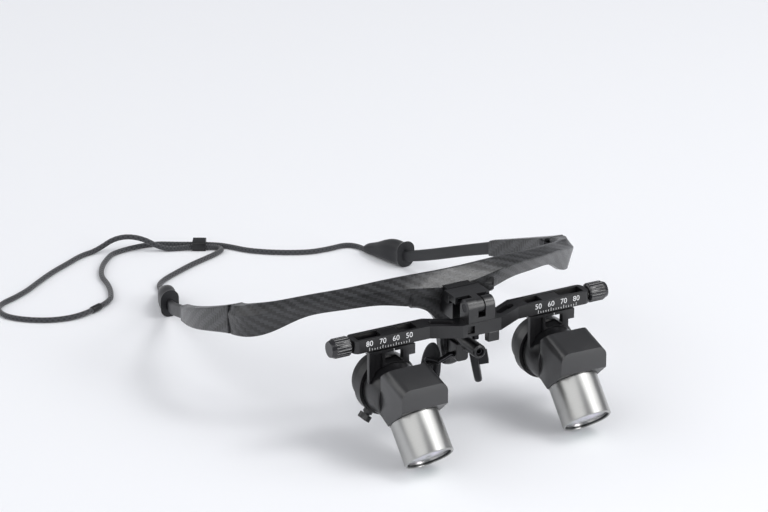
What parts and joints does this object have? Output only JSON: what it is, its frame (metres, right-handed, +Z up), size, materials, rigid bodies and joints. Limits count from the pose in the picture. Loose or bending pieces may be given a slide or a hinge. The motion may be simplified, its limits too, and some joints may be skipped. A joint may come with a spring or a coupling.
{
  "type": "dental loupes",
  "caption": "Flip-up prism loupes on a carbon spectacle frame, with pupil distance drive, folding temples and a retaining cord.",
  "frame": {"origin": "middle of the object's box at the height of the table it stands on, measured without the retaining cord", "axes": "+X to the wearer's left, +Y backwards towards the ears, +Z up"},
  "size_m": [0.1723, 0.2356, 0.0533],
  "materials": {
    "carbon": "clear-coated woven carbon",
    "black_plastic": "satin moulded",
    "black_anodised": "bead-blasted black anodised",
    "dark_steel": "blackened",
    "bright_steel": "turned",
    "silver_aluminium": "satin turned",
    "silicone": "matt silicone",
    "cord": "braided",
    "optical_glass": "coated"
  },
  "bodies": {
    "frame": {"brow_frame": "carbon", "light_mount": "black_anodised", "lock_screw": "bright_steel", "pad_bracket": "black_anodised", "pad_arm_left": "dark_steel", "pad_arm_right": "dark_steel", "frame_leaf_left": "dark_steel", "frame_leaf_right": "dark_steel", "hinge_screws": "bright_steel", "flip_tongue": "black_anodised", "mount_block": "black_anodised", "mount_screws": "dark_steel", "cord_left": "cord", "cord_right": "cord", "cord_bead": "black_plastic", "cord_crimp": "black_plastic"},
    "flip_rail": {"rail": "black_anodised", "flip_clevis": "black_anodised", "flip_pin": "dark_steel", "clevis_screw": "dark_steel", "bridge_screw": "dark_steel", "stop_block": "black_anodised"},
    "carriage_left": {"carriage_left": "black_anodised", "hanger_left": "black_anodised", "hanger_screw_left": "dark_steel"},
    "drive_left": {"knob_left": "black_anodised", "lead_screw_left": "bright_steel"},
    "telescope_left": {"ocular_tube_left": "black_anodised", "eyepiece_cap_left": "black_plastic", "eye_lens_left": "optical_glass", "prism_housing_left": "black_anodised", "roof_prism_left": "optical_glass", "objective_barrel_left": "silver_aluminium", "objective_lens_left": "optical_glass", "lens_retainer_left": "black_anodised"},
    "thumb_left": {"thumb_screw_left": "black_anodised"},
    "pad_left": {"nose_pad_left": "silicone"},
    "temple_left": {"temple_leaf_left": "dark_steel", "temple_front_left": "carbon", "temple_arm_left": "black_plastic", "temple_sleeve_left": "silicone"},
    "carriage_right": {"carriage_right": "black_anodised", "hanger_right": "black_anodised", "hanger_screw_right": "dark_steel"},
    "drive_right": {"knob_right": "black_anodised", "lead_screw_right": "bright_steel"},
    "telescope_right": {"ocular_tube_right": "black_anodised", "eyepiece_cap_right": "black_plastic", "eye_lens_right": "optical_glass", "prism_housing_right": "black_anodised", "roof_prism_right": "optical_glass", "objective_barrel_right": "silver_aluminium", "objective_lens_right": "optical_glass", "lens_retainer_right": "black_anodised"},
    "thumb_right": {"thumb_screw_right": "black_anodised"},
    "pad_right": {"nose_pad_right": "silicone"},
    "temple_right": {"temple_leaf_right": "dark_steel", "temple_front_right": "carbon", "temple_arm_right": "black_plastic", "temple_sleeve_right": "silicone"}
  },
  "joints": [
    {"name": "flip_up", "type": "hinge", "parent": "frame", "child": "flip_rail", "pos_m": [0, -0.0655, 0.04679], "axis": [-1, 0, 0], "range_deg": [0, 85]},
    {"name": "pupil_slide_left", "type": "slide", "parent": "flip_rail", "child": "carriage_left", "axis": [1, 0, 0], "range_m": [-0.006, 0.009]},
    {"name": "knob_turn_left", "type": "hinge", "parent": "flip_rail", "child": "drive_left", "pos_m": [0, -0.06, 0.03974], "axis": [1, 0, 0], "range_deg": [-1082, 1622]},
    {"name": "telescope_turn_left", "type": "hinge", "parent": "carriage_left", "child": "telescope_left", "pos_m": [0.031, -0.0605, 0.02209], "axis": [0.0175, 0.9998, 0], "range_deg": [-10, 10]},
    {"name": "thumb_screw_turn_left", "type": "hinge", "parent": "carriage_left", "child": "thumb_left", "pos_m": [0.03105, -0.0577, 0.02209], "axis": [0.5877, -0.0103, -0.809], "range_deg": [0, 180]},
    {"name": "pad_swivel_left", "type": "hinge", "parent": "frame", "child": "pad_left", "pos_m": [0.01116, -0.05038, 0.01963], "axis": [-0.1568, 0.0905, 0.9835], "range_deg": [-8, 8]},
    {"name": "temple_fold_left", "type": "hinge", "parent": "frame", "child": "temple_left", "pos_m": [0.0612, -0.0095, 0.03489], "axis": [0, 0, 1], "range_deg": [0, 90]},
    {"name": "pupil_slide_right", "type": "slide", "parent": "flip_rail", "child": "carriage_right", "axis": [-1, 0, 0], "range_m": [-0.006, 0.009]},
    {"name": "knob_turn_right", "type": "hinge", "parent": "flip_rail", "child": "drive_right", "pos_m": [0, -0.06, 0.03974], "axis": [-1, 0, 0], "range_deg": [-1082, 1622]},
    {"name": "telescope_turn_right", "type": "hinge", "parent": "carriage_right", "child": "telescope_right", "pos_m": [-0.031, -0.0605, 0.02209], "axis": [-0.0175, 0.9998, 0], "range_deg": [-10, 10]},
    {"name": "thumb_screw_turn_right", "type": "hinge", "parent": "carriage_right", "child": "thumb_right", "pos_m": [-0.03105, -0.0577, 0.02209], "axis": [-0.5877, -0.0103, -0.809], "range_deg": [0, 180]},
    {"name": "pad_swivel_right", "type": "hinge", "parent": "frame", "child": "pad_right", "pos_m": [-0.01116, -0.05038, 0.01963], "axis": [0.1568, 0.0905, 0.9835], "range_deg": [-8, 8]},
    {"name": "temple_fold_right", "type": "hinge", "parent": "frame", "child": "temple_right", "pos_m": [-0.0612, -0.0095, 0.03489], "axis": [0, 0, -1], "range_deg": [0, 84]}
  ],
  "couplings": [
    {"joint": "knob_turn_left", "follows": "pupil_slide_left", "rad_per_m": 3141.6},
    {"joint": "knob_turn_right", "follows": "pupil_slide_right", "rad_per_m": 3141.6}
  ]
}
